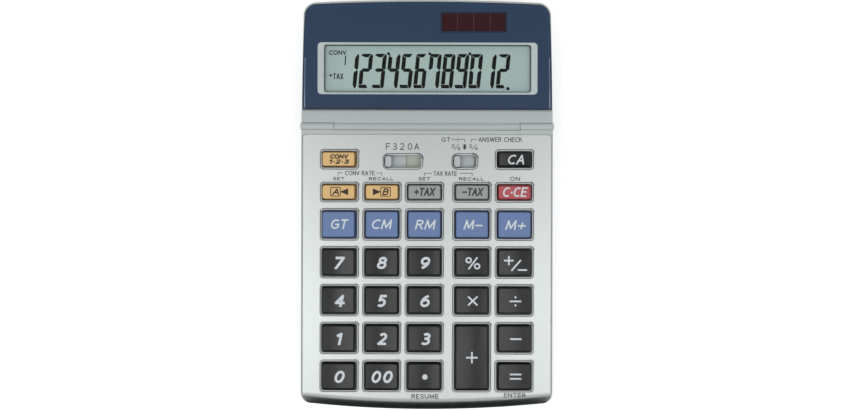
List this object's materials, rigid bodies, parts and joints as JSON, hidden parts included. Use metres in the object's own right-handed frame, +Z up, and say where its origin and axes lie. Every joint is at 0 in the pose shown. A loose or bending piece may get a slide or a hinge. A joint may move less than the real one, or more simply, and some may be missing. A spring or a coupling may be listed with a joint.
{
  "type": "desktop calculator",
  "caption": "Slim desktop calculator with a wedge-shaped keyboard case, dished keys, slide switches and a tilting display head with a solar cell.",
  "frame": {"origin": "centre of the footprint at the level of the rubber feet, which is the desk", "axes": "+X to the right when read, +Y from the keys towards the display, +Z up"},
  "size_m": [0.107, 0.1728, 0.0251],
  "materials": {
    "lower_plastic": "fine grained",
    "rim_plastic": "satin",
    "face_metal": "brushed, anodised",
    "mat_rubber": "matte",
    "board_laminate": "matte",
    "switch_laminate": "matte",
    "part_black": "matte",
    "knob_plastic": "satin",
    "screw_steel": "plated",
    "pin_plastic": "satin",
    "foot_rubber": "matte",
    "cell_steel": "plated",
    "contact_brass": "plated",
    "door_plastic": "fine grained",
    "head_plastic": "satin",
    "cover_plastic": "satin",
    "bezel_plastic": "satin",
    "window_clear": "clear",
    "display_grey": "semi-gloss",
    "strip_rubber": "matte",
    "solar_glass": "gloss",
    "cap_black": "satin",
    "cap_grey": "satin",
    "cap_blue": "satin",
    "cap_red": "satin",
    "cap_orange": "satin"
  },
  "bodies": {
    "base": {"lower_case": "lower_plastic", "top_case": "rim_plastic", "faceplate": "face_metal", "key_mat": "mat_rubber", "main_board": "board_laminate", "controller_chip": "part_black", "board_parts": "part_black", "switch_board": "switch_laminate", "case_screws": "screw_steel", "hinge_pins": "pin_plastic", "rubber_feet": "foot_rubber", "battery_cell": "cell_steel", "battery_contacts": "contact_brass", "battery_door": "door_plastic", "battery_screw": "screw_steel"},
    "head": {"head_shell": "head_plastic", "front_cover": "cover_plastic", "display_bezel": "bezel_plastic", "display_window": "window_clear", "display_glass": "display_grey", "contact_strips": "strip_rubber", "display_board": "board_laminate", "solar_cell": "solar_glass", "head_screws": "screw_steel"},
    "decimal_switch": {"decimal_knob": "knob_plastic"},
    "rounding_switch": {"rounding_knob": "knob_plastic"},
    "key_convert_body": {"key_convert": "cap_orange"},
    "key_all_clear_body": {"key_all_clear": "cap_black"},
    "key_rate_a_body": {"key_rate_a": "cap_orange"},
    "key_rate_b_body": {"key_rate_b": "cap_orange"},
    "key_tax_plus_body": {"key_tax_plus": "cap_grey"},
    "key_tax_minus_body": {"key_tax_minus": "cap_grey"},
    "key_clear_body": {"key_clear": "cap_red"},
    "key_zero_body": {"key_zero": "cap_black"},
    "key_double_zero_body": {"key_double_zero": "cap_black"},
    "key_point_body": {"key_point": "cap_black"},
    "key_equals_body": {"key_equals": "cap_black"},
    "key_one_body": {"key_one": "cap_black"},
    "key_two_body": {"key_two": "cap_black"},
    "key_three_body": {"key_three": "cap_black"},
    "key_minus_body": {"key_minus": "cap_black"},
    "key_four_body": {"key_four": "cap_black"},
    "key_five_body": {"key_five": "cap_black"},
    "key_six_body": {"key_six": "cap_black"},
    "key_multiply_body": {"key_multiply": "cap_black"},
    "key_divide_body": {"key_divide": "cap_black"},
    "key_seven_body": {"key_seven": "cap_black"},
    "key_eight_body": {"key_eight": "cap_black"},
    "key_nine_body": {"key_nine": "cap_black"},
    "key_percent_body": {"key_percent": "cap_black"},
    "key_sign_body": {"key_sign": "cap_black"},
    "key_total_body": {"key_total": "cap_blue"},
    "key_memory_clear_body": {"key_memory_clear": "cap_blue"},
    "key_memory_recall_body": {"key_memory_recall": "cap_blue"},
    "key_memory_minus_body": {"key_memory_minus": "cap_blue"},
    "key_memory_plus_body": {"key_memory_plus": "cap_blue"},
    "key_plus_body": {"key_plus": "cap_black"}
  },
  "joints": [
    {"name": "head_tilt", "type": "hinge", "parent": "base", "child": "head", "pos_m": [0, 0.03268, 0.01849], "axis": [1, 0, 0], "range_deg": [0, 65]},
    {"name": "decimal_slide", "type": "slide", "parent": "base", "child": "decimal_switch", "axis": [1, 0, 0], "range_m": [0, 0.0123]},
    {"name": "rounding_slide", "type": "slide", "parent": "base", "child": "rounding_switch", "axis": [1, 0, 0], "range_m": [0, 0.0065]},
    {"name": "key_convert_press", "type": "slide", "parent": "base", "child": "key_convert_body", "axis": [0, -0.0785, 0.9969], "range_m": [-0.0012, 0], "stiffness_N_per_m": 220, "springref_m": 0.0015},
    {"name": "key_all_clear_press", "type": "slide", "parent": "base", "child": "key_all_clear_body", "axis": [0, -0.0785, 0.9969], "range_m": [-0.0012, 0], "stiffness_N_per_m": 220, "springref_m": 0.0015},
    {"name": "key_rate_a_press", "type": "slide", "parent": "base", "child": "key_rate_a_body", "axis": [0, -0.0785, 0.9969], "range_m": [-0.0012, 0], "stiffness_N_per_m": 220, "springref_m": 0.0015},
    {"name": "key_rate_b_press", "type": "slide", "parent": "base", "child": "key_rate_b_body", "axis": [0, -0.0785, 0.9969], "range_m": [-0.0012, 0], "stiffness_N_per_m": 220, "springref_m": 0.0015},
    {"name": "key_tax_plus_press", "type": "slide", "parent": "base", "child": "key_tax_plus_body", "axis": [0, -0.0785, 0.9969], "range_m": [-0.0012, 0], "stiffness_N_per_m": 220, "springref_m": 0.0015},
    {"name": "key_tax_minus_press", "type": "slide", "parent": "base", "child": "key_tax_minus_body", "axis": [0, -0.0785, 0.9969], "range_m": [-0.0012, 0], "stiffness_N_per_m": 220, "springref_m": 0.0015},
    {"name": "key_clear_press", "type": "slide", "parent": "base", "child": "key_clear_body", "axis": [0, -0.0785, 0.9969], "range_m": [-0.0012, 0], "stiffness_N_per_m": 220, "springref_m": 0.0015},
    {"name": "key_zero_press", "type": "slide", "parent": "base", "child": "key_zero_body", "axis": [0, -0.0785, 0.9969], "range_m": [-0.0012, 0], "stiffness_N_per_m": 220, "springref_m": 0.0015},
    {"name": "key_double_zero_press", "type": "slide", "parent": "base", "child": "key_double_zero_body", "axis": [0, -0.0785, 0.9969], "range_m": [-0.0012, 0], "stiffness_N_per_m": 220, "springref_m": 0.0015},
    {"name": "key_point_press", "type": "slide", "parent": "base", "child": "key_point_body", "axis": [0, -0.0785, 0.9969], "range_m": [-0.0012, 0], "stiffness_N_per_m": 220, "springref_m": 0.0015},
    {"name": "key_equals_press", "type": "slide", "parent": "base", "child": "key_equals_body", "axis": [0, -0.0785, 0.9969], "range_m": [-0.0012, 0], "stiffness_N_per_m": 220, "springref_m": 0.0015},
    {"name": "key_one_press", "type": "slide", "parent": "base", "child": "key_one_body", "axis": [0, -0.0785, 0.9969], "range_m": [-0.0012, 0], "stiffness_N_per_m": 220, "springref_m": 0.0015},
    {"name": "key_two_press", "type": "slide", "parent": "base", "child": "key_two_body", "axis": [0, -0.0785, 0.9969], "range_m": [-0.0012, 0], "stiffness_N_per_m": 220, "springref_m": 0.0015},
    {"name": "key_three_press", "type": "slide", "parent": "base", "child": "key_three_body", "axis": [0, -0.0785, 0.9969], "range_m": [-0.0012, 0], "stiffness_N_per_m": 220, "springref_m": 0.0015},
    {"name": "key_minus_press", "type": "slide", "parent": "base", "child": "key_minus_body", "axis": [0, -0.0785, 0.9969], "range_m": [-0.0012, 0], "stiffness_N_per_m": 220, "springref_m": 0.0015},
    {"name": "key_four_press", "type": "slide", "parent": "base", "child": "key_four_body", "axis": [0, -0.0785, 0.9969], "range_m": [-0.0012, 0], "stiffness_N_per_m": 220, "springref_m": 0.0015},
    {"name": "key_five_press", "type": "slide", "parent": "base", "child": "key_five_body", "axis": [0, -0.0785, 0.9969], "range_m": [-0.0012, 0], "stiffness_N_per_m": 220, "springref_m": 0.0015},
    {"name": "key_six_press", "type": "slide", "parent": "base", "child": "key_six_body", "axis": [0, -0.0785, 0.9969], "range_m": [-0.0012, 0], "stiffness_N_per_m": 220, "springref_m": 0.0015},
    {"name": "key_multiply_press", "type": "slide", "parent": "base", "child": "key_multiply_body", "axis": [0, -0.0785, 0.9969], "range_m": [-0.0012, 0], "stiffness_N_per_m": 220, "springref_m": 0.0015},
    {"name": "key_divide_press", "type": "slide", "parent": "base", "child": "key_divide_body", "axis": [0, -0.0785, 0.9969], "range_m": [-0.0012, 0], "stiffness_N_per_m": 220, "springref_m": 0.0015},
    {"name": "key_seven_press", "type": "slide", "parent": "base", "child": "key_seven_body", "axis": [0, -0.0785, 0.9969], "range_m": [-0.0012, 0], "stiffness_N_per_m": 220, "springref_m": 0.0015},
    {"name": "key_eight_press", "type": "slide", "parent": "base", "child": "key_eight_body", "axis": [0, -0.0785, 0.9969], "range_m": [-0.0012, 0], "stiffness_N_per_m": 220, "springref_m": 0.0015},
    {"name": "key_nine_press", "type": "slide", "parent": "base", "child": "key_nine_body", "axis": [0, -0.0785, 0.9969], "range_m": [-0.0012, 0], "stiffness_N_per_m": 220, "springref_m": 0.0015},
    {"name": "key_percent_press", "type": "slide", "parent": "base", "child": "key_percent_body", "axis": [0, -0.0785, 0.9969], "range_m": [-0.0012, 0], "stiffness_N_per_m": 220, "springref_m": 0.0015},
    {"name": "key_sign_press", "type": "slide", "parent": "base", "child": "key_sign_body", "axis": [0, -0.0785, 0.9969], "range_m": [-0.0012, 0], "stiffness_N_per_m": 220, "springref_m": 0.0015},
    {"name": "key_total_press", "type": "slide", "parent": "base", "child": "key_total_body", "axis": [0, -0.0785, 0.9969], "range_m": [-0.0012, 0], "stiffness_N_per_m": 220, "springref_m": 0.0015},
    {"name": "key_memory_clear_press", "type": "slide", "parent": "base", "child": "key_memory_clear_body", "axis": [0, -0.0785, 0.9969], "range_m": [-0.0012, 0], "stiffness_N_per_m": 220, "springref_m": 0.0015},
    {"name": "key_memory_recall_press", "type": "slide", "parent": "base", "child": "key_memory_recall_body", "axis": [0, -0.0785, 0.9969], "range_m": [-0.0012, 0], "stiffness_N_per_m": 220, "springref_m": 0.0015},
    {"name": "key_memory_minus_press", "type": "slide", "parent": "base", "child": "key_memory_minus_body", "axis": [0, -0.0785, 0.9969], "range_m": [-0.0012, 0], "stiffness_N_per_m": 220, "springref_m": 0.0015},
    {"name": "key_memory_plus_press", "type": "slide", "parent": "base", "child": "key_memory_plus_body", "axis": [0, -0.0785, 0.9969], "range_m": [-0.0012, 0], "stiffness_N_per_m": 220, "springref_m": 0.0015},
    {"name": "key_plus_press", "type": "slide", "parent": "base", "child": "key_plus_body", "axis": [0, -0.0785, 0.9969], "range_m": [-0.0012, 0], "stiffness_N_per_m": 220, "springref_m": 0.0015}
  ]
}
